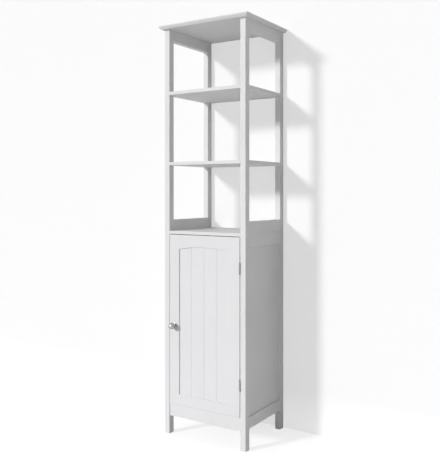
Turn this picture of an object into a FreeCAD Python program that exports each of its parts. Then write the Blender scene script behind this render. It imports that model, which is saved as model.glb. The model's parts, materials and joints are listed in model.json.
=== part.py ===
"""Tall bathroom cabinet: an open shelf tower over a cupboard with one framed, arched bead-board door.

Millimetres, +Z up. The cabinet stands on z = 0 with its door towards -Y, and the origin is on the
floor under the middle of the overall box. Every driving size is a cell of the sheet "Sizes", and
every piece takes its size and place from those cells.
"""
import FreeCAD, Part
import math
import os
import re

import Sketcher

SIZES = {
    # side frames: posts that are also the legs, and the rails between them
    "frame_width": 372.0, "frame_depth": 286.0, "post_height": 1574.0,
    "post_width": 23.0, "post_depth": 27.0,
    "rail_height": 42.0, "rail_base": 76.0, "eased_edge": 0.8,
    # boards, by the level of their upper faces
    "board_thick": 12.0, "upper_shelf_level": 1331.0, "lower_shelf_level": 1057.0,
    "cabinet_top_level": 790.0,
    # moulded top board
    "top_thick": 13.0, "top_lip": 4.0, "top_bevel": 7.5,
    "top_side_overhang": 17.4, "top_front_overhang": 19.3,
    # panels held in grooves
    "side_panel_thick": 5.0, "side_panel_setback": 8.0, "back_panel_thick": 3.0,
    "back_panel_setback": 5.0, "groove_depth": 6.0, "board_groove_depth": 2.5, "panel_play": 0.2,
    # apron, back rail and cupboard floor
    "apron_drop": 6.0, "apron_thick": 18.0, "apron_setback": 3.0, "back_rail_thick": 15.0,
    "floor_play": 0.3, "floor_door_gap": 1.5,
    # adjustable shelf on pins
    "inner_shelf_play": 1.0, "inner_shelf_door_gap": 2.0, "pin_row_level": 440.0,
    "pin_row_pitch": 32.0, "pin_inset": 22.0, "pin_radius": 2.5, "pin_length": 16.0,
    "pin_depth": 8.0, "pin_play": 0.1,
    # wooden dowels, the same in every joint
    "dowel_radius": 3.0, "dowel_length": 28.0, "dowel_short_end": 11.0, "dowel_play": 0.1,
    "dowel_inset": 9.0,
    # door
    "door_thick": 15.0, "latch_gap": 2.0, "door_top_gap": 2.5, "door_bottom_gap": 2.0,
    "stile_width": 45.0, "bottom_rail_width": 40.0, "top_rail_width": 45.0, "arch_rise": 10.5,
    "panel_recess": 4.0, "frame_ease": 0.5, "door_panel_thick": 5.0, "door_groove_depth": 8.0,
    "bead_pitch": 58.0, "bead_width": 2.0, "bead_depth": 1.0,
    # knob and its screw
    "knob_level": 424.0, "knob_reach": 29.5, "knob_ball_radius": 13.0, "knob_flange_radius": 9.0,
    "knob_flange_thick": 1.5, "knob_neck_radius": 5.0,
    "knob_screw_radius": 2.0, "knob_screw_bite": 12.0, "knob_screw_play": 0.15,
    "knob_screw_head_radius": 4.5, "knob_screw_head_thick": 2.5,
    # butt hinges
    "hinge_upper_drop": 116.0, "hinge_lower_rise": 119.0, "hinge_height": 38.0,
    "leaf_thick": 1.3, "leaf_width": 12.0, "leaf_gap": 0.5, "barrel_radius": 2.7,
    "barrel_proud": 2.7, "knuckle_play": 0.2, "knuckle_clearance": 0.5,
    "hinge_pin_radius": 1.5, "hinge_pin_play": 0.05, "hinge_tip_radius": 2.2,
    "hinge_tip_height": 3.0,
    # small flush-headed screws
    "screw_radius": 1.5, "screw_length": 12.0, "screw_head_radius": 2.8, "screw_head_thick": 0.8,
    "screw_play": 0.05, "hinge_screw_spread": 24.0, "hinge_screw_inset": 7.5,
    # magnetic catch and its strike plate
    "catch_offset": 75.0, "catch_width": 28.0, "catch_depth": 14.0, "catch_height": 12.0,
    "catch_ear": 8.0, "catch_ear_thick": 2.5, "magnet_width": 24.0, "magnet_height": 7.0,
    "magnet_deep": 11.0, "magnet_proud": 1.0, "magnet_play": 0.2, "catch_gap": 0.3,
    "strike_width": 30.0, "strike_height": 11.0, "strike_thick": 1.2, "strike_drop": 0.5,
    "strike_screw_spread": 18.0,
}

# Lines that several pieces share, written as sums of the sizes
FRONT = "((knob_reach - frame_depth) / 2)"
BACK = "((knob_reach + frame_depth) / 2)"
INNER = "(frame_width / 2 - post_width)"
INNER_FRONT = f"({FRONT} + post_depth)"
INNER_BACK = f"({BACK} - post_depth)"
RAIL_TOP = "(rail_base + rail_height)"
CEILING = "(cabinet_top_level - board_thick)"
MID_RAIL_BASE = f"({CEILING} - rail_height)"
HINGE_GAP = "(2 * leaf_thick + leaf_gap)"
HINGE_X = f"({INNER} - {HINGE_GAP} / 2)"
HINGE_Y = f"({FRONT} - barrel_proud)"
DOOR_LEFT = f"(latch_gap - {INNER})"
DOOR_WIDTH = f"(2 * {INNER} - latch_gap - {HINGE_GAP})"
DOOR_MIDDLE = f"({DOOR_LEFT} + {DOOR_WIDTH} / 2)"
DOOR_RIGHT = f"({DOOR_LEFT} + {DOOR_WIDTH})"
DOOR_BOTTOM = f"({RAIL_TOP} + door_bottom_gap)"
DOOR_TOP = f"({CEILING} - door_top_gap)"
DOOR_BACK = f"({FRONT} + door_thick)"
ARCH_HALF = f"({DOOR_WIDTH} / 2 - stile_width)"
ARCH_RADIUS = f"(({ARCH_HALF} ^ 2 + arch_rise ^ 2) / (2 * arch_rise))"
ARCH_CENTRE = f"({DOOR_TOP} - top_rail_width - {ARCH_RADIUS})"
KNOB_X = f"({DOOR_LEFT} + stile_width / 2)"
CATCH_X = f"({DOOR_LEFT} + catch_offset)"
MAGNET_FRONT = f"({DOOR_BACK} + strike_thick + catch_gap)"

SIDES = {"left": -1, "right": 1}
ENDS = ("front", "back")
RAIL_LEVELS = {"bottom": "rail_base", "mid": MID_RAIL_BASE, "gallery": "cabinet_top_level",
               "top": "(post_height - rail_height)"}
SHELF_LEVELS = {"upper_shelf": "upper_shelf_level", "lower_shelf": "lower_shelf_level",
                "cabinet_top": "cabinet_top_level"}
HINGE_LEVELS = {"upper": f"({CEILING} - hinge_upper_drop)", "lower": f"({RAIL_TOP} + hinge_lower_rise)"}
PIN_ROWS = ("lower", "middle", "upper")

# Dowels, pins, screws and their bores have this many flat sides
FASTENER_SIDES = 8

# The knob's ball is turned in this many bands
BALL_BANDS = 5

# The arched rail is swept this much past its ends, which are then cut to length
ARCH_OVERSWEEP = 1.2

# Turns that point a piece's own +Z axis along the cabinet's axes
TURNS = {"+X": ((0, 1, 0), 90), "-X": ((0, 1, 0), -90), "+Y": ((1, 0, 0), -90),
         "-Y": ((1, 0, 0), 90), "+Z": ((0, 0, 1), 0), "-Z": ((1, 0, 0), 180)}

doc = FreeCAD.newDocument("TallBathroomCabinet")
pieces = []


def make_sheet():
    """Write each size beside its name, and make the name the cell's alias."""
    sheet = doc.addObject("Spreadsheet::Sheet", "Sizes")
    for row, (name, value) in enumerate(SIZES.items(), start=1):
        sheet.set(f"A{row}", name)
        sheet.set(f"B{row}", str(value))
        sheet.setAlias(f"B{row}", name)
    doc.recompute()


def tied(text):
    """Turn a sum of size names into an expression that reads the sheet."""
    return re.sub(r"[a-z][a-z_]+\b(?!\()", lambda word: "Sizes." + word.group(0), text)


def bind(item, **properties):
    """Bind numeric properties of a document object to sums of the sizes."""
    for name, text in properties.items():
        item.setExpression(name, tied(str(text)))


def put(item, place, along="+Z"):
    """Place an object at three sums of the sizes, with its own +Z along an axis."""
    axis, angle = TURNS[along]
    item.Placement = FreeCAD.Placement(FreeCAD.Vector(), FreeCAD.Rotation(FreeCAD.Vector(*axis), angle))
    for letter, text in zip("xyz", place):
        item.setExpression("Placement.Base." + letter, tied(str(text)))
    return item


def box(name, low, size):
    """A block from its low corner and its three lengths."""
    block = doc.addObject("Part::Box", name)
    bind(block, Length=size[0], Width=size[1], Height=size[2])
    return put(block, low)


def cylinder(name, radius, height, place=(0, 0, 0), along="+Z"):
    """A round bar that starts at a place and runs along an axis."""
    bar = doc.addObject("Part::Cylinder", name)
    bind(bar, Radius=radius, Height=height)
    return put(bar, place, along)


def prism(name, sides, radius, height, place=(0, 0, 0), along="+Z"):
    """A many-sided bar that starts at a place and runs along an axis."""
    bar_shape = doc.addObject("Part::Prism", name)
    bar_shape.Polygon = sides
    bind(bar_shape, Circumradius=radius, Height=height)
    return put(bar_shape, place, along)


def link(name, master, place, along):
    """A copy of a fastener or of its bore."""
    copy = doc.addObject("App::Link", name)
    copy.LinkedObject = master
    return put(copy, place, along)


def group(name, members):
    """Several separate solids in one object."""
    bundle = doc.addObject("Part::Compound", name)
    bundle.Links = members
    return bundle


def joined(name, members):
    """One solid out of several."""
    union = doc.addObject("Part::MultiFuse", name)
    union.Shapes = members
    return union


def cut(name, base, cutters):
    """A base solid less its grooves, bores and recesses."""
    if not cutters:
        return base
    result = doc.addObject("Part::Cut", name)
    result.Base = base
    result.Tool = cutters[0] if len(cutters) == 1 else group(name + "_cutters", cutters)
    return result


def finish(label, item):
    """Name a finished sub-part, and keep it for the export."""
    item.Label = label
    pieces.append(item)
    return item


def plane_of(body, role):
    """One of a body's own origin planes."""
    return next(plane for plane in body.Origin.OriginFeatures if plane.Role == role)


def sketch_on(body, role, name, lift=None):
    """A sketch on a body's origin plane, lifted off it by a sum of the sizes if asked."""
    sketch = body.newObject("Sketcher::SketchObject", name)
    sketch.AttachmentSupport = [(plane_of(body, role), "")]
    sketch.MapMode = "FlatFace"
    if lift:
        sketch.setExpression("AttachmentOffset.Base.z", tied(lift))
    return sketch


def outline(sketch, corners):
    """Draw a closed outline whose corners are bound to pairs of sums of the sizes."""
    count = len(corners)
    turn = 2 * math.pi / count
    start = [FreeCAD.Vector(math.cos(turn * i), math.sin(turn * i), 0) for i in range(count)]
    for i in range(count):
        sketch.addGeometry(Part.LineSegment(start[i], start[(i + 1) % count]), False)
    for i in range(count):
        sketch.addConstraint(Sketcher.Constraint("Coincident", i, 2, (i + 1) % count, 1))
    for i, corner in enumerate(corners):
        for kind, value, text in zip(("DistanceX", "DistanceY"), (start[i].x, start[i].y), corner):
            index = sketch.addConstraint(Sketcher.Constraint(kind, i, 1, value))
            sketch.setExpression(f"Constraints[{index}]", tied(str(text)))
    return sketch


def padded(name, role, corners, length, reverse=False):
    """A body made of one outline, pushed out by a length."""
    body = doc.addObject("PartDesign::Body", name)
    pad = body.newObject("PartDesign::Pad", name + "_pad")
    pad.Profile = outline(sketch_on(body, role, name + "_outline"), corners)
    pad.Reversed = reverse
    bind(pad, Length=length)
    return body


def bar(name, along, low, size):
    """A straight bar along an axis, with its four long edges eased."""
    role, across, up = {"X": ("YZ_Plane", 1, 2), "Y": ("XZ_Plane", 0, 2), "Z": ("XY_Plane", 0, 1)}[along]
    ease = "eased_edge"
    wide, high = f"({size[across]})", f"({size[up]})"
    corners = [(ease, 0), (f"{wide} - {ease}", 0), (wide, ease), (wide, f"{high} - {ease}"),
               (f"{wide} - {ease}", high), (ease, high), (0, f"{high} - {ease}"), (0, ease)]
    body = padded(name, role, corners, size["XYZ".index(along)], reverse=along == "Y")
    return put(body, low)


def mirrored_corners(corners):
    """Close a right-hand outline, listed from front to back, with its left-hand mirror image."""
    return corners + [(f"-({x})", y) for x, y in reversed(corners)]


# ---------------------------------------------------------------- fasteners

def dowel_seats():
    """Each dowel: its place on the joint's face, its long end's direction, and the two pieces."""
    seats = []
    for side, sign in SIDES.items():
        rail_x = f"{sign} * (frame_width - post_width) / 2"
        for rail, base in RAIL_LEVELS.items():
            middle = f"{base} + rail_height / 2"
            for end, line, along in (("front", INNER_FRONT, "+Y"), ("back", INNER_BACK, "-Y")):
                owners = (f"post_{end}_{side}", f"side_rail_{rail}_{side}")
                seats.append(((rail_x, line, middle), along, owners))
        inward = "+X" if sign < 0 else "-X"
        for end, line in zip(ENDS, (f"{FRONT} + dowel_inset", f"{BACK} - dowel_inset")):
            post = f"post_{end}_{side}"
            seats.append(((rail_x, line, "post_height"), "-Z", ("top_board", post)))
            cross = "front_apron" if end == "front" else "back_rail"
            ends = {cross: "rail_base + rail_height / 2"}
            ends.update({board: f"{level} - board_thick / 2" for board, level in SHELF_LEVELS.items()})
            for piece, middle in ends.items():
                seats.append(((f"{sign} * {INNER}", line, middle), inward, (post, piece)))
    return seats


def screw_shape(name, play):
    """A flush-headed screw along +Z from its head's face, or its bore with some play."""
    head = prism(name + "_head", FASTENER_SIDES, f"screw_head_radius + {play}",
                 f"screw_head_thick + {play}")
    shank = prism(name + "_shank", FASTENER_SIDES, f"screw_radius + {play}", f"screw_length + {play}")
    return joined(name, [head, shank])


def screw_seats():
    """Each group's screws: where the head lies, which way it is driven, and the two pieces."""
    seats = {"hinge_screws_post": [], "hinge_screws_door": [], "catch_screws": [], "strike_screws": []}
    line = f"{FRONT} + hinge_screw_inset"
    for which, level in HINGE_LEVELS.items():
        for sign in (-1, 1):
            height = f"{level} + {sign} * hinge_screw_spread / 2"
            seats["hinge_screws_post"].append(((f"{INNER} - leaf_thick", line, height), "+X",
                                               ("post_front_right", f"hinge_{which}_post_leaf")))
            seats["hinge_screws_door"].append(((f"{DOOR_RIGHT} + leaf_thick", line, height), "-X",
                                               ("door_stile_right", f"hinge_{which}_door_leaf")))
    ear = "(catch_width + catch_ear) / 2"
    ear_middle = f"{MAGNET_FRONT} + magnet_proud + catch_depth / 2"
    strike_middle = f"{DOOR_TOP} - strike_drop - strike_height / 2"
    for sign in (-1, 1):
        place = (f"{CATCH_X} + {sign} * {ear}", ear_middle, f"{CEILING} - catch_ear_thick")
        seats["catch_screws"].append((place, "+Z", ("cabinet_top", "catch_housing")))
        place = (f"{CATCH_X} + {sign} * strike_screw_spread / 2", f"{DOOR_BACK} + strike_thick",
                 strike_middle)
        seats["strike_screws"].append((place, "-Y", ("door_top_rail", "strike_plate")))
    return seats


def make_dowels():
    """All the dowels as one group, and the bores that they need in each piece."""
    dowel = group("Dowel", [prism("DowelBar", FASTENER_SIDES, "dowel_radius", "dowel_length",
                                  (0, 0, "-dowel_short_end"))])
    bore = group("DowelBore", [prism("DowelBoreBar", FASTENER_SIDES, "dowel_radius + dowel_play",
                                     "dowel_length + 2 * dowel_play",
                                     (0, 0, "-dowel_short_end - dowel_play"))])
    dowels, bores = [], {}
    for number, (place, along, owners) in enumerate(dowel_seats()):
        dowels.append(link(f"Dowel_{number}", dowel, place, along))
        for owner in owners:
            bores.setdefault(owner, []).append(link(f"Bore_{number}_{owner}", bore, place, along))
    finish("wood_dowels", group("WoodDowels", dowels))
    return bores


def make_screws():
    """The screw groups, and the bores that they need in each piece."""
    screw = screw_shape("Screw", 0)
    bore = screw_shape("ScrewBore", "screw_play")
    bores = {}
    for name, seats in screw_seats().items():
        screws = []
        for number, (place, along, owners) in enumerate(seats):
            screws.append(link(f"{name}_{number}", screw, place, along))
            for owner in owners:
                hole = link(f"{name}_bore_{number}_{owner}", bore, place, along)
                bores.setdefault(owner, []).append(hole)
        finish(name, group(name, screws))
    return bores


# ---------------------------------------------------------------- carcass

def panel_slot(name, sign, low_y, length_y, low_z, length_z):
    """The room that a side panel takes in a post or rail, with its play."""
    thick = "(side_panel_thick + 2 * panel_play)"
    if sign > 0:
        low_x = "frame_width / 2 - side_panel_setback - side_panel_thick - panel_play"
    else:
        low_x = "side_panel_setback - panel_play - frame_width / 2"
    return box(name, (low_x, low_y, low_z), (thick, length_y, length_z))


def back_slot(name, low_z, height):
    """The room that the back panel takes in the back posts, the back rail and the cabinet top."""
    low = (f"-{INNER} - groove_depth",
           f"{BACK} - back_panel_setback - back_panel_thick - panel_play", low_z)
    return box(name, low, (f"2 * ({INNER} + groove_depth)", "back_panel_thick + 2 * panel_play", height))


def pin_place(row, end, sign):
    """The mouth of one shelf-pin hole in a post."""
    line = f"{FRONT} + pin_inset" if end == "front" else f"{BACK} - pin_inset"
    lift = {"lower": "- pin_row_pitch", "middle": "", "upper": "+ pin_row_pitch"}[row]
    return (f"{sign} * {INNER}", line, f"pin_row_level {lift}")


def make_posts(bores):
    """Four full-height posts, which are also the legs."""
    slot_base = f"({RAIL_TOP} - groove_depth)"
    slot_height = f"{MID_RAIL_BASE} - {RAIL_TOP} + 2 * groove_depth"
    for side, sign in SIDES.items():
        outward = "+X" if sign > 0 else "-X"
        low_x = INNER if sign > 0 else "-frame_width / 2"
        for end in ENDS:
            name = f"post_{end}_{side}"
            low_y = FRONT if end == "front" else INNER_BACK
            slot_y = f"{INNER_FRONT} - groove_depth" if end == "front" else INNER_BACK
            cutters = [panel_slot(name + "_slot", sign, slot_y, "groove_depth", slot_base, slot_height)]
            if end == "back":
                cutters.append(back_slot(name + "_back_slot", slot_base,
                                         f"{CEILING} + board_groove_depth - {slot_base}"))
            for row in PIN_ROWS:
                cutters.append(prism(f"{name}_pin_hole_{row}", FASTENER_SIDES, "pin_radius + pin_play",
                                     "pin_depth + pin_play", pin_place(row, end, sign), outward))
            blank = bar(name + "_blank", "Z", (low_x, low_y, 0),
                        ("post_width", "post_depth", "post_height"))
            finish(name, cut(name, blank, cutters + bores[name]))


def make_side_frames(bores):
    """Four rails and one recessed panel on each side."""
    for side, sign in SIDES.items():
        low_x = INNER if sign > 0 else "-frame_width / 2"
        length = "frame_depth - 2 * post_depth"
        for rail, base in RAIL_LEVELS.items():
            name = f"side_rail_{rail}_{side}"
            cutters = list(bores[name])
            if rail in ("bottom", "mid"):
                slot_z = f"{RAIL_TOP} - groove_depth" if rail == "bottom" else base
                cutters.append(panel_slot(name + "_slot", sign, INNER_FRONT, length, slot_z,
                                          "groove_depth"))
            blank = bar(name + "_blank", "Y", (low_x, INNER_FRONT, base),
                        ("post_width", length, "rail_height"))
            finish(name, cut(name, blank, cutters))
        reach = "(groove_depth - panel_play)"
        panel_x = "frame_width / 2 - side_panel_setback - side_panel_thick" if sign > 0 \
            else "side_panel_setback - frame_width / 2"
        finish(f"side_panel_{side}",
               box(f"side_panel_{side}", (panel_x, f"{INNER_FRONT} - {reach}", f"{RAIL_TOP} - {reach}"),
                   ("side_panel_thick", f"{length} + 2 * {reach}",
                    f"{MID_RAIL_BASE} - {RAIL_TOP} + 2 * {reach}")))


def notched_board(name, wide, front, back, underside):
    """A board whose four corners are notched round the posts, wide between them and narrow past them."""
    corners = [(INNER, front), (INNER, INNER_FRONT), (wide, INNER_FRONT),
               (wide, INNER_BACK), (INNER, INNER_BACK), (INNER, back)]
    board = padded(name, "XY_Plane", mirrored_corners(corners), "board_thick")
    return put(board, (0, 0, underside))


def make_boards(bores):
    """Three fixed boards flush with the posts, the cupboard floor and the adjustable shelf."""
    for name, level in SHELF_LEVELS.items():
        cutters = list(bores[name])
        if name == "cabinet_top":
            cutters.append(back_slot(name + "_slot", CEILING, "board_groove_depth"))
        blank = notched_board(name + "_blank", "frame_width / 2", FRONT, BACK, f"{level} - board_thick")
        finish(name, cut(name, blank, cutters))
    panel_front = f"{BACK} - back_panel_setback - back_panel_thick"
    floor_half = "frame_width / 2 - side_panel_setback - side_panel_thick - floor_play"
    finish("cabinet_floor",
           notched_board("cabinet_floor", floor_half, f"{DOOR_BACK} + floor_door_gap",
                         f"{panel_front} - floor_play", RAIL_TOP))
    shelf_front = f"({DOOR_BACK} + inner_shelf_door_gap)"
    finish("inner_shelf",
           box("inner_shelf", (f"inner_shelf_play - {INNER}", shelf_front, "pin_row_level + pin_radius"),
               (f"2 * ({INNER} - inner_shelf_play)", f"{panel_front} - inner_shelf_play - {shelf_front}",
                "board_thick")))


def make_cross_pieces(bores):
    """The front apron, the back rail and the back panel."""
    length = f"2 * {INNER}"
    apron = bar("apron_blank", "X", (f"-{INNER}", f"{FRONT} + apron_setback", "rail_base - apron_drop"),
                (length, "apron_thick", "rail_height + apron_drop"))
    finish("front_apron", cut("front_apron", apron, bores["front_apron"]))
    rail = bar("back_rail_blank", "X", (f"-{INNER}", f"{BACK} - back_rail_thick", "rail_base"),
               (length, "back_rail_thick", "rail_height"))
    slot = back_slot("back_rail_slot", f"{RAIL_TOP} - groove_depth", "groove_depth")
    finish("back_rail", cut("back_rail", rail, bores["back_rail"] + [slot]))
    base = f"({RAIL_TOP} - groove_depth + panel_play)"
    half = f"({INNER} + groove_depth - panel_play)"
    height = f"{CEILING} + board_groove_depth - panel_play - {base}"
    finish("back_panel",
           box("back_panel", (f"-{half}", f"{BACK} - back_panel_setback - back_panel_thick", base),
               (f"2 * {half}", "back_panel_thick", height)))


def make_top_board(bores):
    """The top board: an upright lip over a bevel that runs back under it, square at the wall."""
    body = doc.addObject("PartDesign::Body", "top_board_blank")
    bevel_height = "top_thick - top_lip"
    rings = []
    for ring, inset, lift in (("under", "top_bevel", None), ("lip", "0", bevel_height)):
        half = f"frame_width / 2 + top_side_overhang - {inset}"
        corners = mirrored_corners([(half, f"{FRONT} - top_front_overhang + {inset}"), (half, BACK)])
        rings.append(outline(sketch_on(body, "XY_Plane", f"top_board_{ring}", lift), corners))
    bevel = body.newObject("PartDesign::AdditiveLoft", "top_board_bevel")
    bevel.Profile = rings[0]
    bevel.Sections = [rings[1]]
    bevel.Ruled = True
    lip = body.newObject("PartDesign::Pad", "top_board_edge")
    lip.Profile = rings[1]
    bind(lip, Length="top_lip")
    put(body, (0, 0, "post_height"))
    finish("top_board", cut("top_board", body, bores["top_board"]))


def make_shelf_pins():
    """Four pins in the middle row of holes, under the adjustable shelf."""
    pins = []
    for side, sign in SIDES.items():
        inward = "-X" if sign > 0 else "+X"
        for end in ENDS:
            _, line, level = pin_place("middle", end, sign)
            start = f"{sign} * ({INNER} + pin_depth)"
            pins.append(prism(f"pin_{end}_{side}", FASTENER_SIDES, "pin_radius", "pin_length",
                              (start, line, level), inward))
    finish("shelf_pins", group("shelf_pins", pins))


# ---------------------------------------------------------------- door

def frame_section(edge, far):
    """A door frame piece's section, as (depth, reach) from the square edge that holds the panel.

    edge is 1 where the panel lies on the side of higher numbers, and far is the piece's outer edge.
    """
    groove = f"{-edge} * door_groove_depth"
    groove_back = "(panel_recess + door_panel_thick)"
    return [("0", f"{-edge} * frame_ease"), ("frame_ease", "0"), ("panel_recess", "0"),
            ("panel_recess", groove), (groove_back, groove), (groove_back, "0"), ("door_thick", "0"),
            ("door_thick", far), ("0", far)]


def door_stiles():
    """Both uprights, in place, before they are bored."""
    stiles = {}
    lines = {"left": f"{DOOR_LEFT} + stile_width", "right": f"{DOOR_RIGHT} - stile_width"}
    for side, sign in SIDES.items():
        section = [(reach, depth) for depth, reach in frame_section(-sign, f"{sign} * stile_width")]
        body = padded(f"stile_{side}", "XY_Plane", section, f"{DOOR_TOP} - {DOOR_BOTTOM}")
        stiles[side] = put(body, (lines[side], FRONT, DOOR_BOTTOM))
    return stiles


def make_door(screw_bores):
    """A frame of two stiles and two rails, coped at their ends, round a bead-board panel."""
    stiles = door_stiles()
    left = f"{DOOR_LEFT} + stile_width - frame_ease"
    span = f"2 * ({ARCH_HALF} + frame_ease)"

    bottom = padded("bottom_rail_blank", "YZ_Plane", frame_section(1, "-bottom_rail_width"), span)
    put(bottom, (left, FRONT, f"{DOOR_BOTTOM} + bottom_rail_width"))
    finish("door_bottom_rail", cut("door_bottom_rail", bottom, list(stiles.values())))

    arch = doc.addObject("PartDesign::Body", "top_rail_arch")
    section = [(depth, f"{ARCH_RADIUS} + ({reach})")
               for depth, reach in frame_section(-1, "top_rail_width + arch_rise")]
    turned = arch.newObject("PartDesign::Revolution", "top_rail_turned")
    turned.Profile = outline(sketch_on(arch, "YZ_Plane", "top_rail_section"), section)
    turned.ReferenceAxis = (turned.Profile[0], ["H_Axis"])
    turned.Midplane = True
    bind(turned, Angle=f"2 * asin({ARCH_HALF} / {ARCH_RADIUS}) * {ARCH_OVERSWEEP}")
    put(arch, (DOOR_MIDDLE, FRONT, ARCH_CENTRE))
    top_low = f"({DOOR_TOP} - top_rail_width - 2 * arch_rise)"
    limits = box("top_rail_limits", (left, FRONT, top_low),
                 (span, "door_thick", f"{DOOR_TOP} - {top_low}"))
    top = doc.addObject("Part::Common", "top_rail_blank")
    top.Base = arch
    top.Tool = limits
    cutters = list(stiles.values()) + screw_bores["door_top_rail"]
    finish("door_top_rail", cut("door_top_rail", top, cutters))

    hole = cylinder("stile_knob_hole", "knob_screw_radius + knob_screw_play", "door_thick",
                    (KNOB_X, FRONT, "knob_level"), "+Y")
    finish("door_stile_left", cut("door_stile_left", stiles["left"], [hole]))
    finish("door_stile_right", cut("door_stile_right", stiles["right"], screw_bores["door_stile_right"]))
    make_bead_panel()


def make_bead_panel():
    """The bead-board panel: upright V grooves at an even pitch, and a top edge that follows the arch."""
    hidden = "(door_groove_depth - panel_play)"
    half = f"({ARCH_HALF} + {hidden})"
    base = f"({DOOR_BOTTOM} + bottom_rail_width - {hidden})"
    height = f"({DOOR_TOP} - top_rail_width + {hidden} - {base})"
    corners = [(f"-{half}", "0"), (half, "0"), (half, "door_panel_thick"),
               (f"-{half}", "door_panel_thick")]
    body = padded("bead_panel_blank", "XY_Plane", corners, height)
    groove = body.newObject("PartDesign::Pocket", "bead_groove")
    groove.Profile = outline(sketch_on(body, "XY_Plane", "bead_section"),
                             [("-bead_pitch - bead_width / 2", "0"), ("bead_width / 2 - bead_pitch", "0"),
                              ("-bead_pitch", "bead_depth")])
    groove.Type = "ThroughAll"
    groove.Reversed = True
    row = body.newObject("PartDesign::LinearPattern", "bead_grooves")
    row.Originals = [groove]
    row.Direction = (groove.Profile[0], ["H_Axis"])
    row.Occurrences = 3
    bind(row, Length="2 * bead_pitch")
    body.Tip = row
    put(body, (DOOR_MIDDLE, f"{FRONT} + panel_recess", base))
    arch = cylinder("bead_panel_arch", f"{ARCH_RADIUS} + {hidden}", "door_panel_thick",
                    (DOOR_MIDDLE, f"{FRONT} + panel_recess", ARCH_CENTRE), "+Y")
    panel = doc.addObject("Part::Common", "door_bead_panel")
    panel.Base = body
    panel.Tool = arch
    finish("door_bead_panel", panel)


def make_knob():
    """A ball knob on a flange and neck, and the screw that holds it from behind the stile."""
    body = doc.addObject("PartDesign::Body", "knob_turning")
    turned = body.newObject("PartDesign::Revolution", "knob_turned")
    corners = [("0", "0"), ("0", "knob_flange_radius"), ("-knob_flange_thick", "knob_flange_radius"),
               ("-knob_flange_thick", "knob_neck_radius")]
    start, half_turn = "asin(knob_neck_radius / knob_ball_radius)", "2 * asin(1)"
    for band in range(BALL_BANDS):
        turn = f"({start} + ({half_turn} - {start}) * {band} / {BALL_BANDS})"
        corners.append((f"-knob_reach + knob_ball_radius * (1 + cos({turn}))",
                        f"knob_ball_radius * sin({turn})"))
    corners.append(("-knob_reach", "0"))
    turned.Profile = outline(sketch_on(body, "YZ_Plane", "knob_section"), corners)
    turned.ReferenceAxis = (turned.Profile[0], ["H_Axis"])
    turned.Angle = 360
    put(body, (KNOB_X, FRONT, "knob_level"))
    bore = cylinder("knob_bore", "knob_screw_radius + knob_screw_play",
                    "knob_screw_bite + knob_screw_play", (KNOB_X, FRONT, "knob_level"), "-Y")
    finish("door_knob", cut("door_knob", body, [bore]))

    shank = prism("knob_screw_shank", FASTENER_SIDES, "knob_screw_radius", "door_thick + knob_screw_bite",
                  (KNOB_X, DOOR_BACK, "knob_level"), "-Y")
    head = prism("knob_screw_head", FASTENER_SIDES, "knob_screw_head_radius", "knob_screw_head_thick",
                 (KNOB_X, DOOR_BACK, "knob_level"), "+Y")
    finish("knob_screw", joined("knob_screw", [shank, head]))


# ---------------------------------------------------------------- hinges and catch

def make_leaf(name, level, sign, screw_bores):
    """One hinge leaf: the plate in the gap, and its share of the three knuckles.

    sign is 1 for the post's leaf, which has the two outer knuckles, and -1 for the door's.
    """
    half, third = "(hinge_height / 2)", "(hinge_height / 6)"
    clear = "(barrel_radius + knuckle_clearance)"
    far = "(barrel_proud + leaf_width)"
    if sign > 0:
        step = f"({third} + knuckle_play)"
        corners = [("0", f"-{half}"), (far, f"-{half}"), (far, half), ("0", half), ("0", step),
                   (clear, step), (clear, f"-{step}"), ("0", f"-{step}")]
        knuckles = [(f"-{half}", f"{half} - {step}"), (step, f"{half} - {step}")]
        plate_x = f"{HINGE_X} + leaf_gap / 2"
    else:
        corners = [(clear, f"-{half}"), (far, f"-{half}"), (far, half), (clear, half), (clear, third),
                   ("0", third), ("0", f"-{third}"), (clear, f"-{third}")]
        knuckles = [(f"-{third}", f"2 * {third}")]
        plate_x = f"{HINGE_X} - leaf_gap / 2 - leaf_thick"
    plate = put(padded(name + "_plate", "YZ_Plane", corners, "leaf_thick"), (plate_x, HINGE_Y, level))
    barrels = [cylinder(f"{name}_knuckle_{i}", "barrel_radius", height,
                        (HINGE_X, HINGE_Y, f"{level} + {low}"))
               for i, (low, height) in enumerate(knuckles)]
    bore = cylinder(name + "_bore", "hinge_pin_radius + hinge_pin_play", "hinge_height",
                    (HINGE_X, HINGE_Y, f"{level} - {half}"))
    blank = joined(name + "_blank", [plate] + barrels)
    finish(name, cut(name, blank, [bore] + screw_bores[name]))


def make_hinges(screw_bores):
    """Two butt hinges on the right, each with two leaves and a pin with button tips."""
    for which, level in HINGE_LEVELS.items():
        make_leaf(f"hinge_{which}_post_leaf", level, 1, screw_bores)
        make_leaf(f"hinge_{which}_door_leaf", level, -1, screw_bores)
        name = f"hinge_{which}_pin"
        low = f"{level} - hinge_height / 2"
        shank = cylinder(name + "_shank", "hinge_pin_radius", "hinge_height", (HINGE_X, HINGE_Y, low))
        tips = []
        for end, start, along in (("under", low, "-Z"), ("over", f"{low} + hinge_height", "+Z")):
            tips.append(prism(f"{name}_tip_{end}", FASTENER_SIDES, "hinge_tip_radius", "hinge_tip_height",
                              (HINGE_X, HINGE_Y, start), along))
        finish(name, joined(name, [shank] + tips))


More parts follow.
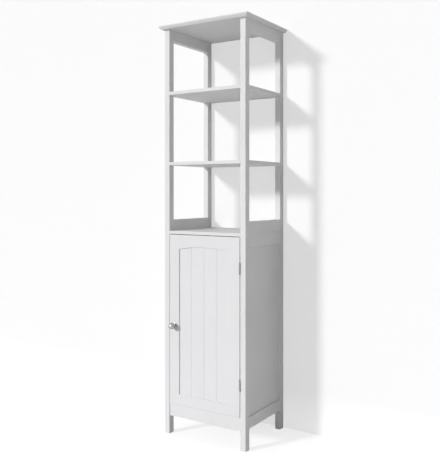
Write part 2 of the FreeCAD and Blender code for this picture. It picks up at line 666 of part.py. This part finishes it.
def make_catch(screw_bores):
    """A magnetic catch under the cabinet top, and the steel strike plate on the door."""
    front = f"({MAGNET_FRONT} + magnet_proud)"
    case = box("catch_case", (f"{CATCH_X} - catch_width / 2", front, f"{CEILING} - catch_height"),
               ("catch_width", "catch_depth", "catch_height"))
    ears = box("catch_ears",
               (f"{CATCH_X} - catch_width / 2 - catch_ear", front, f"{CEILING} - catch_ear_thick"),
               ("catch_width + 2 * catch_ear", "catch_depth", "catch_ear_thick"))
    magnet_low = f"{CEILING} - catch_height / 2 - magnet_height / 2"
    pocket = box("catch_pocket",
                 (f"{CATCH_X} - magnet_width / 2 - magnet_play", front, f"{magnet_low} - magnet_play"),
                 ("magnet_width + 2 * magnet_play", "magnet_deep - magnet_proud",
                  "magnet_height + 2 * magnet_play"))
    finish("catch_housing", cut("catch_housing", joined("catch_blank", [case, ears]),
                                [pocket] + screw_bores["catch_housing"]))
    finish("catch_magnet", box("catch_magnet", (f"{CATCH_X} - magnet_width / 2", MAGNET_FRONT, magnet_low),
                               ("magnet_width", "magnet_deep", "magnet_height")))
    plate = box("strike_blank", (f"{CATCH_X} - strike_width / 2", DOOR_BACK,
                                 f"{DOOR_TOP} - strike_drop - strike_height"),
                ("strike_width", "strike_thick", "strike_height"))
    finish("strike_plate", cut("strike_plate", plate, screw_bores["strike_plate"]))


def check_and_export():
    """Stop on any failed object or bad solid, then write one file for each sub-part."""
    faults = [item.Name for item in doc.Objects if {"Invalid", "Error"} & set(item.State)]
    faults += [piece.Label for piece in pieces if piece.Shape.isNull() or not piece.Shape.isValid()]
    if faults:
        raise RuntimeError("failed: " + ", ".join(faults))
    os.makedirs("parts", exist_ok=True)
    for piece in pieces:
        piece.Shape.exportStep(f"parts/{piece.Label}.step")
        print(f"{piece.Label}: {len(piece.Shape.Solids)} solid(s), {piece.Shape.Volume / 1000:.1f} cm3")


make_sheet()
dowel_bores = make_dowels()
screw_bores = make_screws()
for owner, extra in screw_bores.items():
    dowel_bores.setdefault(owner, []).extend(extra)
make_posts(dowel_bores)
make_side_frames(dowel_bores)
make_boards(dowel_bores)
make_cross_pieces(dowel_bores)
make_top_board(dowel_bores)
make_shelf_pins()
make_door(screw_bores)
make_knob()
make_hinges(screw_bores)
make_catch(screw_bores)
doc.recompute()
check_and_export()
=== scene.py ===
"""Looks of the tall bathroom cabinet: white satin paint, nickel hardware, pale wall and floor.

Everything is in metres, in the CAD frame. Each carried-over node gets its finish, and the knob, the
hinge pins, the screws, the dowels and the shelf pins are turned again with the detail that the solids
lack. Their profiles are written in millimetres.
"""

import json
import math

import bmesh
import bpy
from mathutils import Matrix, Vector


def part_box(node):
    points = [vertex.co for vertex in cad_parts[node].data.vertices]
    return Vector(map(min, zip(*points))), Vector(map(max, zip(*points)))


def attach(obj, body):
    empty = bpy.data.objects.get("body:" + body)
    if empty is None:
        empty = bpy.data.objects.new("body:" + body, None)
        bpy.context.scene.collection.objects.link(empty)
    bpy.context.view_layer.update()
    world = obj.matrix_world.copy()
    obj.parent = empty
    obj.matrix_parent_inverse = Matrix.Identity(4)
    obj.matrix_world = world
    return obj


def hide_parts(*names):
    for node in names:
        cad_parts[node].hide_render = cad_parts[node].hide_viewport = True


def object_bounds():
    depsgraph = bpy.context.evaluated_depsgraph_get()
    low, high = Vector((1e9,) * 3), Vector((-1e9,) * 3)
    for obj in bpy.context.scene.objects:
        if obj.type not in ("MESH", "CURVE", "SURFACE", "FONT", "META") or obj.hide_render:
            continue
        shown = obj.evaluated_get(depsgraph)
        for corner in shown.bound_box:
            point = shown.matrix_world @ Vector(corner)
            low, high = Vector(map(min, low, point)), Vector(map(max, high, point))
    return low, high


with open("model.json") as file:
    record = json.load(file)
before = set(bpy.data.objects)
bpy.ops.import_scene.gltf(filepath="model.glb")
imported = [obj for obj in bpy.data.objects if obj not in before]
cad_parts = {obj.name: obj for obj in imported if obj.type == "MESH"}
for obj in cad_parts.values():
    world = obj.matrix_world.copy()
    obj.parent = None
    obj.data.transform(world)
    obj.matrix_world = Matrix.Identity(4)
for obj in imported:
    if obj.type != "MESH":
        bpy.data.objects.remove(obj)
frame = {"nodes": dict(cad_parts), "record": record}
nodes = frame["nodes"]
cad_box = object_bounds()
MM = 0.001

# ---------------------------------------------------------------- camera
# The photograph's view: a level camera, turned to the left, with its centre shifted in the frame.
IMAGE_WIDTH, IMAGE_HEIGHT = 440, 463
FOCAL_PIXELS = 641.4
CENTRE_PIXEL = (254.1, 191.9)
CAMERA_TURN = math.radians(31.14)
CAMERA_PLACE = (1.4109, -2.0960, 0.9409)
SENSOR = 36.0
CLIP_END = 60.0


def make_camera():
    """The camera at the photograph's angle, with no depth of field."""
    data = bpy.data.cameras.new("camera")
    data.sensor_width = SENSOR
    data.lens = FOCAL_PIXELS / IMAGE_HEIGHT * SENSOR
    data.shift_x = (IMAGE_WIDTH / 2 - CENTRE_PIXEL[0]) / IMAGE_HEIGHT
    data.shift_y = (CENTRE_PIXEL[1] - IMAGE_HEIGHT / 2) / IMAGE_HEIGHT
    data.clip_end = CLIP_END
    camera = bpy.data.objects.new("camera", data)
    camera.location = CAMERA_PLACE
    camera.rotation_euler = (math.pi / 2, 0.0, CAMERA_TURN)
    bpy.context.collection.objects.link(camera)
    bpy.context.scene.camera = camera


# ---------------------------------------------------------------- material nodes

class Surface:
    """A node material that is written one short line at a time."""

    def __init__(self, name):
        self.material = bpy.data.materials.new(name)
        self.material.use_nodes = True
        self.tree = self.material.node_tree
        self.shader = self.tree.nodes["Principled BSDF"]
        self.output = self.tree.nodes["Material Output"]
        self.place = self.node("ShaderNodeTexCoord").outputs["Object"]

    def node(self, kind, **settings):
        """A new node, with some of its own settings."""
        made = self.tree.nodes.new(kind)
        for key, value in settings.items():
            setattr(made, key, value)
        return made

    def wire(self, start, end):
        """Join an output to an input."""
        self.tree.links.new(start, end)

    def plain(self, **values):
        """Set even values on the shader's own sockets."""
        for key, value in values.items():
            self.shader.inputs[key.replace("_", " ")].default_value = value

    def noise(self, scale, detail=2.0, stretch=(1, 1, 1), rough=0.5):
        """Noise in the piece's own frame, drawn out along an axis if asked."""
        mapping = self.node("ShaderNodeMapping")
        mapping.inputs["Scale"].default_value = stretch
        self.wire(self.place, mapping.inputs["Vector"])
        texture = self.node("ShaderNodeTexNoise")
        texture.inputs["Scale"].default_value = scale
        texture.inputs["Detail"].default_value = detail
        texture.inputs["Roughness"].default_value = rough
        self.wire(mapping.outputs["Vector"], texture.inputs["Vector"])
        return texture.outputs["Fac"]

    def spread(self, value, low, high, start=0.3, end=0.7):
        """Map a pattern to a range of numbers."""
        mapped = self.node("ShaderNodeMapRange")
        for name, number in (("From Min", start), ("From Max", end), ("To Min", low), ("To Max", high)):
            mapped.inputs[name].default_value = number
        self.wire(value, mapped.inputs["Value"])
        return mapped.outputs["Result"]

    def blend(self, factor, first, second):
        """A colour between two others."""
        mix = self.node("ShaderNodeMix", data_type="RGBA")
        self.wire(factor, mix.inputs[0])
        for socket, colour in ((mix.inputs[6], first), (mix.inputs[7], second)):
            if isinstance(colour, tuple):
                socket.default_value = (*colour, 1)
            else:
                self.wire(colour, socket)
        return mix.outputs[2]

    def colour(self, output):
        """Drive the base colour."""
        self.wire(output, self.shader.inputs["Base Color"])

    def roughness(self, output):
        """Drive the roughness."""
        self.wire(output, self.shader.inputs["Roughness"])

    def bumps(self, *layers):
        """Stack bump layers, each a pattern, its strength and its height in metres."""
        normal = None
        for pattern, strength, height in layers:
            bump = self.node("ShaderNodeBump")
            bump.inputs["Strength"].default_value = strength
            bump.inputs["Distance"].default_value = height
            self.wire(pattern, bump.inputs["Height"])
            if normal:
                self.wire(normal, bump.inputs["Normal"])
            normal = bump.outputs["Normal"]
        self.wire(normal, self.shader.inputs["Normal"])


WHITE = (0.80, 0.80, 0.80)
WHITE_THIN = (0.775, 0.773, 0.765)
STROKE_STRETCH = 0.05


def paint(axis):
    """Satin paint over board: faint strokes along the piece, orange peel, and thin spots in clouds."""
    surface = Surface("white_paint_" + "xyz"[axis])
    along = tuple(STROKE_STRETCH if i == axis else 1.0 for i in range(3))
    strokes = surface.noise(170.0, 4.0, along, 0.6)
    cloud = surface.noise(5.0, 3.0)
    peel = surface.noise(520.0, 2.0)
    thin = surface.spread(cloud, 0.0, 0.75, 0.42, 0.72)
    surface.colour(surface.blend(thin, WHITE, WHITE_THIN))
    surface.roughness(surface.spread(strokes, 0.52, 0.64))
    surface.bumps((strokes, 0.10, 0.00025), (peel, 0.12, 0.00012))
    surface.plain(Specular_IOR_Level=0.2)
    return surface.material


def nickel():
    """Satin nickel plate with fine turning lines and an uneven tone."""
    surface = Surface("satin_nickel")
    lines = surface.noise(1500.0, 3.0, (0.15, 1.0, 0.15))
    tarnish = surface.noise(90.0, 3.0)
    surface.colour(surface.blend(surface.spread(tarnish, 0, 1), (0.44, 0.44, 0.44), (0.38, 0.38, 0.375)))
    surface.roughness(surface.spread(lines, 0.22, 0.30))
    surface.bumps((lines, 0.05, 0.00003))
    surface.plain(Metallic=1.0)
    return surface.material


def zinc_steel():
    """Zinc-plated steel: pale and slightly blue, with a drawn grain."""
    surface = Surface("zinc_steel")
    grain = surface.noise(900.0, 3.0, (1.0, 1.0, 0.1))
    cloud = surface.noise(160.0, 3.0)
    surface.colour(surface.blend(surface.spread(cloud, 0, 1), (0.60, 0.61, 0.63), (0.50, 0.51, 0.52)))
    surface.roughness(surface.spread(grain, 0.28, 0.42))
    surface.bumps((grain, 0.08, 0.00003))
    surface.plain(Metallic=1.0)
    return surface.material


def hardwood():
    """Bare beech for the dowels: long pale grain with short dark flecks."""
    surface = Surface("bare_hardwood")
    grain = surface.noise(420.0, 6.0, (0.12, 0.12, 1.0))
    flecks = surface.noise(900.0, 2.0, (0.25, 0.25, 1.0))
    body = surface.blend(surface.spread(grain, 0, 1), (0.60, 0.43, 0.26), (0.47, 0.31, 0.17))
    surface.colour(surface.blend(surface.spread(flecks, 0, 0.8, 0.6, 0.72), body, (0.27, 0.16, 0.08)))
    surface.roughness(surface.spread(grain, 0.62, 0.78))
    surface.bumps((grain, 0.25, 0.0001))
    return surface.material


def plastic():
    """White moulded plastic with a fine spark-eroded grain."""
    surface = Surface("white_plastic")
    grain = surface.noise(1600.0, 2.0)
    cloud = surface.noise(60.0, 2.0)
    surface.colour(surface.blend(surface.spread(cloud, 0, 1), (0.74, 0.74, 0.72), (0.69, 0.69, 0.66)))
    surface.roughness(surface.spread(grain, 0.38, 0.55))
    surface.bumps((grain, 0.2, 0.00004))
    return surface.material


def magnet():
    """A sintered ferrite block: dark grey, grainy and a little chipped in tone."""
    surface = Surface("ferrite_magnet")
    grain = surface.noise(1300.0, 5.0)
    surface.colour(surface.blend(surface.spread(grain, 0, 1), (0.022, 0.022, 0.024), (0.055, 0.053, 0.05)))
    surface.roughness(surface.spread(grain, 0.45, 0.7))
    surface.bumps((grain, 0.3, 0.00008))
    return surface.material


PAINTS = [paint(axis) for axis in range(3)]
FINISHES = {"bare_hardwood": hardwood(), "nickel": nickel(), "zinc_steel": zinc_steel(),
            "white_plastic": plastic(), "magnet": magnet()}
SLOTS = {part["node"]: part["material_slot"] for part in frame["record"]["subparts"]}


def dress_nodes():
    """Each carried-over node gets the finish of its slot, and paint follows its longest side."""
    for name, node in nodes.items():
        low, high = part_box(name)
        sides = [high[i] - low[i] for i in range(3)]
        slot = SLOTS[name]
        finish = PAINTS[sides.index(max(sides))] if slot == "white_paint" else FINISHES[slot]
        node.data.materials.clear()
        node.data.materials.append(finish)


# ---------------------------------------------------------------- turned pieces

WELD = 1e-6


def islands(name):
    """The boxes of a node's separate solids, as (low corner, high corner)."""
    mesh = bmesh.new()
    mesh.from_mesh(nodes[name].data)
    bmesh.ops.remove_doubles(mesh, verts=mesh.verts, dist=WELD)
    left, boxes = set(mesh.verts), []
    while left:
        start = left.pop()
        found, queue = [start], [start]
        while queue:
            for edge in queue.pop().link_edges:
                for vert in edge.verts:
                    if vert in left:
                        left.remove(vert)
                        found.append(vert)
                        queue.append(vert)
        boxes.append(tuple(Vector([pick(v.co[i] for v in found) for i in range(3)]) for pick in (min, max)))
    mesh.free()
    return sorted(boxes, key=lambda pair: tuple(round(c, 5) for c in pair[0]))


def circle(radius, count):
    """A ring of points as (angle, radius)."""
    return [(2 * math.pi * i / count, radius) for i in range(count)]


def ring_mesh(mesh, rings, place, closed_start=True):
    """Join rings of points into a skin. Each ring is (height, [(angle, radius)]), and place maps it
    to the frame."""
    rows = []
    for height, points in rings:
        rows.append([mesh.verts.new(place @ Vector((r * math.cos(a), r * math.sin(a), height)))
                     for a, r in points])
    count = len(rows[0])
    for below, above in zip(rows, rows[1:]):
        for i in range(count):
            j = (i + 1) % count
            mesh.faces.new((below[i], below[j], above[j], above[i]))
    if closed_start:
        mesh.faces.new(list(reversed(rows[0])))
    mesh.faces.new(rows[-1])


def new_piece(name, mesh, replaced, body, angle=40):
    """Turn a bmesh into an object that rides on a body and stands for its node. Edges sharper than
    the angle, in degrees, stay sharp."""
    bmesh.ops.recalc_face_normals(mesh, faces=mesh.faces)
    data = bpy.data.meshes.new(name)
    mesh.to_mesh(data)
    mesh.free()
    data.shade_smooth()
    data.set_sharp_from_angle(angle=math.radians(angle))
    piece = bpy.data.objects.new(name, data)
    bpy.context.collection.objects.link(piece)
    slot = SLOTS[replaced]
    data.materials.append(FINISHES[slot])
    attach(piece, body)
    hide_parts(replaced)


AXES = {"+X": Vector((1, 0, 0)), "-X": Vector((-1, 0, 0)), "+Y": Vector((0, 1, 0)),
        "-Y": Vector((0, -1, 0)), "+Z": Vector((0, 0, 1)), "-Z": Vector((0, 0, -1))}


def seat(low, high, along):
    """The place at the middle of a box's face where a piece along an axis starts."""
    axis = AXES[along]
    middle = (low + high) / 2
    start = middle - axis * abs((high - low).dot(axis)) / 2
    return Matrix.Translation(start) @ axis.to_track_quat("Z", "Y").to_matrix().to_4x4()


def arc(centre, radius, start, end, count):
    """Profile points (height, radius) on an arc; angles in degrees from the axis."""
    points = []
    for i in range(count + 1):
        turn = math.radians(start + (end - start) * i / count)
        points.append((centre - radius * math.cos(turn), radius * math.sin(turn)))
    return points


KNOB_SIDES = 72
KNOB_FLANGE = [(0.0, 2.2), (0.0, 8.7), (0.15, 8.9), (0.45, 9.0), (1.1, 9.0), (1.4, 8.85), (1.5, 8.6)]
KNOB_COVE = [(1.65, 7.9), (1.95, 7.0), (2.5, 6.1), (3.3, 5.45), (4.1, 5.2)]
BALL_FROM, BALL_TO, BALL_RINGS = 24.6, 179.0, 40


def make_knob():
    """The ball knob: a rounded flange with an open bore, a coved neck and a true ball."""
    low, high = (Vector(corner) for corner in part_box("door_knob"))
    ball = (high.x - low.x) / MM / 2
    middle = (high.y - low.y) / MM - ball
    profile = KNOB_FLANGE + KNOB_COVE + arc(middle, ball, BALL_FROM, BALL_TO, BALL_RINGS)
    rings = [(z * MM, circle(r * MM, KNOB_SIDES)) for z, r in profile]
    mesh = bmesh.new()
    ring_mesh(mesh, rings, seat(low, high, "-Y"), closed_start=False)
    new_piece("turned_knob", mesh, "door_knob", "door", angle=55)


def cross(reach, width):
    """The outline of a cross recess as (angle, radius), six points a quarter: three across the end of
    an arm, and three down its side, into the corner and up the next arm."""
    quarter = math.pi / 2
    corner = quarter / 2
    edge = math.atan2(width, reach)
    half_way = (edge + corner) / 2
    tip = [(-edge, reach / math.cos(edge)), (0.0, reach), (edge, reach / math.cos(edge))]
    side = width / math.sin(half_way)
    tip += [(half_way, side), (corner, width / math.sin(corner)), (quarter - half_way, side)]
    return [(i * quarter + turn, radius) for i in range(4) for turn, radius in tip]


def around(angles, radius):
    """A round ring with its points at given angles."""
    return [(angle, radius) for angle in angles]


# A screw's recess and rim, as shares of its head, and its thread, as shares of its core.
RECESS_REACH, RECESS_WIDTH, RECESS_DEPTH, RECESS_FLOOR = 0.56, 0.13, 0.7, 0.45
RIM_INNER, RIM_OUTER, CROWN_INNER, CROWN_OUTER = 0.80, 0.95, 0.2, 0.5
SHANK, THREAD_ROOT = 0.82, 0.80
# Lengths along a screw, in millimetres, the rings in each turn of its thread, and its point as pairs of
# the distance from the end and the share of the core.
RIM_DROP, EDGE_DROP = 0.06, 0.2
THREAD_BITE, THREAD_START, THREAD_END = 1.2, 0.9, 2.2
THREAD_RINGS, CREST_SHARPNESS = 5, 3
POINT = ((2.0, 0.75), (0.2, 0.12), (0.0, 0.04))


def screw_rings(head, head_thick, core, length, dome=0.0):
    """A cross-head screw from its head's face down: recess, rim, head, a rolled thread and a point."""
    recess = cross(head * RECESS_REACH, head * RECESS_WIDTH)
    angles = [angle for angle, _ in recess]
    rings = [(head_thick * RECESS_DEPTH + dome, [(a, r * RECESS_FLOOR) for a, r in recess]), (0.0, recess)]
    outline = [(dome * CROWN_INNER, head * RIM_INNER), (dome * CROWN_OUTER + RIM_DROP, head * RIM_OUTER),
               (dome + EDGE_DROP, head), (head_thick, head), (head_thick, core * SHANK)]
    rings += [(height, around(angles, radius)) for height, radius in outline]
    height = head_thick + THREAD_START
    while height < length - THREAD_END:
        turn = 2 * math.pi * height / THREAD_BITE
        crests = [max(0.0, math.cos(angle - turn)) ** CREST_SHARPNESS for angle in angles]
        radii = [core * (THREAD_ROOT + (1 - THREAD_ROOT) * crest) for crest in crests]
        rings.append((height, list(zip(angles, radii))))
        height += THREAD_BITE / THREAD_RINGS
    for back, share in POINT:
        rings.append((length - back, around(angles, core * share)))
    return [(z * MM, [(a, r * MM) for a, r in points]) for z, points in rings]


SMALL_SCREW = {"head": 2.8, "head_thick": 0.8, "core": 1.5, "length": 12.0}
KNOB_SCREW = {"head": 4.5, "head_thick": 2.5, "core": 2.0, "length": 29.5, "dome": 0.9}
SCREW_GROUPS = (("hinge_screws_post", "+X", "carcass", SMALL_SCREW),
                ("hinge_screws_door", "-X", "door", SMALL_SCREW),
                ("catch_screws", "+Z", "carcass", SMALL_SCREW),
                ("strike_screws", "-Y", "door", SMALL_SCREW),
                ("knob_screw", "-Y", "door", KNOB_SCREW))


def make_screws():
    """Cross-head screws in the place of every plain screw solid."""
    for name, along, body, sizes in SCREW_GROUPS:
        rings = screw_rings(**sizes)
        mesh = bmesh.new()
        for low, high in islands(name):
            ring_mesh(mesh, rings, seat(low, high, along))
        new_piece("cross_" + name, mesh, name, body, angle=30)


def two_ended(end, length, sides):
    """Rings of a turned pin that has the same profile, in millimetres, at both ends."""
    profile = end + [(length / MM - z, r) for z, r in reversed(end)]
    return [(z * MM, circle(r * MM, sides)) for z, r in profile]


HINGE_TIP_SIDES = 32
HINGE_TIP = [(0.0, 0.6), (0.12, 1.15), (0.45, 1.75), (0.95, 2.12), (1.5, 2.2), (2.1, 2.05), (2.55, 1.8),
             (2.62, 2.05), (3.0, 2.05), (3.0, 1.5)]


def make_hinge_pins():
    """Hinge pins with rounded button tips over a small collar."""
    for which in ("upper", "lower"):
        name = f"hinge_{which}_pin"
        low, high = (Vector(corner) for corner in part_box(name))
        mesh = bmesh.new()
        ring_mesh(mesh, two_ended(HINGE_TIP, high.z - low.z, HINGE_TIP_SIDES), seat(low, high, "+Z"))
        new_piece(f"button_{name}", mesh, name, "carcass")


SHELF_PIN_SIDES = 28
SHELF_PIN_NOSE = [(0.0, 1.9), (0.25, 2.3), (0.7, 2.5)]


def make_shelf_pins():
    """Plated shelf pins with rounded noses."""
    mesh = bmesh.new()
    for low, high in islands("shelf_pins"):
        ring_mesh(mesh, two_ended(SHELF_PIN_NOSE, high.x - low.x, SHELF_PIN_SIDES), seat(low, high, "+X"))
    new_piece("plated_shelf_pins", mesh, "shelf_pins", "carcass")


FLUTES, FLUTE_RIDGE, FLUTE_ROOT = 14, 3.0, 2.75
DOWEL_CHAMFER, DOWEL_END = 1.2, 0.8


def make_dowels():
    """Fluted dowels with chamfered ends in every joint."""
    star = [(math.pi * i / FLUTES, FLUTE_RIDGE if i % 2 else FLUTE_ROOT) for i in range(2 * FLUTES)]
    mesh = bmesh.new()
    for low, high in islands("wood_dowels"):
        size = high - low
        along = "+" + "XYZ"[max(range(3), key=lambda i: size[i])]
        length = max(size) / MM
        rings = []
        for height, scale in ((0.0, DOWEL_END), (DOWEL_CHAMFER, 1.0), (length - DOWEL_CHAMFER, 1.0),
                              (length, DOWEL_END)):
            rings.append((height * MM, [(a, r * scale * MM) for a, r in star]))
        ring_mesh(mesh, rings, seat(low, high, along))
    new_piece("fluted_dowels", mesh, "wood_dowels", "carcass", angle=25)


# ---------------------------------------------------------------- stage and light

# The key and the fill. The fill behind the wall lights the cabinet's back where the wall is open to it.
# The last value is the world's strength where it shows as the background, and there 1 is white.
KEY_DIRECTION = Vector((0.57, 1.0, -0.44))
KEY_STRENGTH = 2.18
KEY_SPREAD = math.radians(7.5)
KEY_COLOUR = (1.0, 1.0, 1.03)
FILL = 0.32
BACK_FILL = 0.60
FILL_COLOUR = (1.0, 0.996, 0.988)
BACKGROUND = 1.0
# The wall and the floor: glow and tone for the camera and mirrors, bounce for all other light.
WALL_GAP = 0.001
REACH = 6.0
WALL_HEIGHT = 4.0
TOUCHING = 0.006
FLOOR_GLOW, FLOOR_TONE, FLOOR_BOUNCE = 0.70, 0.50, 0.80
WALL_GLOW, WALL_TONE, WALL_BOUNCE = 0.49, 0.50, 0.60
# Painted light: extra wall glow near the floor, fading out over the given height, in place of light bounced
# up from the floor.
PAINTED_FOOT_LIGHT_GLOW, PAINTED_FOOT_LIGHT_HEIGHT = 0.12, 0.16
STAGE_ROUGHNESS = 0.9


def one_sided(surface, front):
    """Show a shader on the front of a plane and nothing on its back."""
    mix = surface.node("ShaderNodeMixShader")
    surface.wire(surface.node("ShaderNodeNewGeometry").outputs["Backfacing"], mix.inputs["Fac"])
    surface.wire(front, mix.inputs[1])
    surface.wire(surface.node("ShaderNodeBsdfTransparent").outputs[0], mix.inputs[2])
    surface.wire(mix.outputs[0], surface.output.inputs["Surface"])


def shown_rays(tree):
    """1 for the rays that show a background, from the camera, in mirrors and through glass, else 0."""
    path = tree.nodes.new("ShaderNodeLightPath")
    seen = path.outputs["Is Camera Ray"]
    for kind in ("Is Glossy Ray", "Is Transmission Ray"):
        either = tree.nodes.new("ShaderNodeMath")
        either.operation = "MAXIMUM"
        tree.links.new(seen, either.inputs[0])
        tree.links.new(path.outputs[kind], either.inputs[1])
        seen = either.outputs[0]
    return seen


def backdrop_look(name, glow, tone, bounce, painted_foot_light=0.0):
    """Bright for the camera and mirrors, with the shadow kept, and a quieter tone for bounced light. A wall
    may get painted light near the floor: extra glow that fades upward, in place of light bounced up from
    the floor."""
    surface = Surface(name)
    surface.plain(Base_Color=(tone, tone, tone, 1), Roughness=STAGE_ROUGHNESS, Specular_IOR_Level=0.0,
                  Emission_Color=(1, 1, 1, 1), Emission_Strength=glow)
    # Painted light near the floor: emission that fades upward, standing in for floor bounce.
    if painted_foot_light:
        height = surface.node("ShaderNodeSeparateXYZ")
        surface.wire(surface.place, height.inputs[0])
        painted_foot_light_fade = surface.spread(height.outputs["Z"], glow + painted_foot_light, glow, 0.0, PAINTED_FOOT_LIGHT_HEIGHT)
        surface.wire(painted_foot_light_fade, surface.shader.inputs["Emission Strength"])
    quiet = surface.node("ShaderNodeBsdfDiffuse")
    quiet.inputs["Color"].default_value = (bounce, bounce, bounce, 1)
    face = surface.node("ShaderNodeMixShader")
    surface.wire(shown_rays(surface.tree), face.inputs["Fac"])
    surface.wire(quiet.outputs[0], face.inputs[1])
    surface.wire(surface.shader.outputs[0], face.inputs[2])
    one_sided(surface, face.outputs[0])
    return surface.material


def backdrop(name, rectangles, material):
    """A flat stage piece made of rectangles, each given by four corners."""
    data = bpy.data.meshes.new(name)
    corners = [corner for rectangle in rectangles for corner in rectangle]
    data.from_pydata(corners, [], [tuple(range(i, i + 4)) for i in range(0, len(corners), 4)])
    plane = bpy.data.objects.new(name, data)
    bpy.context.collection.objects.link(plane)
    data.materials.append(material)
    return plane


def wall_cells():
    """Cut the wall into cells: those right behind a painted piece that nearly touches it, and the rest."""
    back = cad_box[1][1]
    painted = [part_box(name) for name in nodes if SLOTS[name] == "white_paint"]
    close = [box for box in painted if back - box[1][1] < TOUCHING]
    xs = sorted({-REACH, REACH} | {round(corner[0], 5) for box in close for corner in box})
    zs = sorted({0.0, WALL_HEIGHT} | {round(corner[2], 5) for box in close for corner in box})
    cells = {True: [], False: []}
    y = back + WALL_GAP
    for x0, x1 in zip(xs, xs[1:]):
        for z0, z1 in zip(zs, zs[1:]):
            x, z = (x0 + x1) / 2, (z0 + z1) / 2
            behind = any(low[0] < x < high[0] and low[2] < z < high[2] for low, high in close)
            cells[behind].append([(x0, y, z0), (x1, y, z0), (x1, y, z1), (x0, y, z1)])
    return cells


def make_stage():
    """A pale floor and wall. Fill passes through the wall only where a piece covers it, which lights
    the pieces' backs and nothing else."""
    y = cad_box[1][1] + WALL_GAP
    backdrop("floor", [[(-REACH, -REACH, 0), (REACH, -REACH, 0), (REACH, y, 0), (-REACH, y, 0)]],
             backdrop_look("pale_floor", FLOOR_GLOW, FLOOR_TONE, FLOOR_BOUNCE))
    look = backdrop_look("pale_wall", WALL_GLOW, WALL_TONE, WALL_BOUNCE, PAINTED_FOOT_LIGHT_GLOW)
    cells = wall_cells()
    backdrop("wall", cells[False], look)
    covered = backdrop("covered_wall", cells[True], look)
    covered.visible_diffuse = False
    covered.visible_shadow = False


def make_world():
    """An even fill, stronger behind the wall, and white wherever the background shows."""
    world = bpy.data.worlds.new("world")
    world.use_nodes = True
    tree = world.node_tree
    parts = tree.nodes.new("ShaderNodeSeparateXYZ")
    tree.links.new(tree.nodes.new("ShaderNodeTexCoord").outputs["Generated"], parts.inputs[0])
    fill = tree.nodes.new("ShaderNodeMapRange")
    fill.inputs["To Min"].default_value = FILL
    fill.inputs["To Max"].default_value = FILL + BACK_FILL
    tree.links.new(parts.outputs["Y"], fill.inputs["Value"])
    strength = tree.nodes.new("ShaderNodeMix")
    tree.links.new(shown_rays(tree), strength.inputs[0])
    tree.links.new(fill.outputs["Result"], strength.inputs[2])
    strength.inputs[3].default_value = BACKGROUND
    background = tree.nodes["Background"]
    background.inputs["Color"].default_value = (*FILL_COLOUR, 1)
    tree.links.new(strength.outputs[0], background.inputs["Strength"])
    bpy.context.scene.world = world


def make_key():
    """One soft key from the front left."""
    data = bpy.data.lights.new("key", "SUN")
    data.energy = KEY_STRENGTH
    data.angle = KEY_SPREAD
    data.color = KEY_COLOUR
    lamp = bpy.data.objects.new("key", data)
    lamp.rotation_euler = KEY_DIRECTION.to_track_quat("-Z", "Y").to_euler()
    bpy.context.collection.objects.link(lamp)


make_camera()
dress_nodes()
make_knob()
make_screws()
make_hinge_pins()
make_dowels()
make_shelf_pins()

make_stage()
make_world()
make_key()
bpy.context.scene.view_settings.view_transform = "Standard"
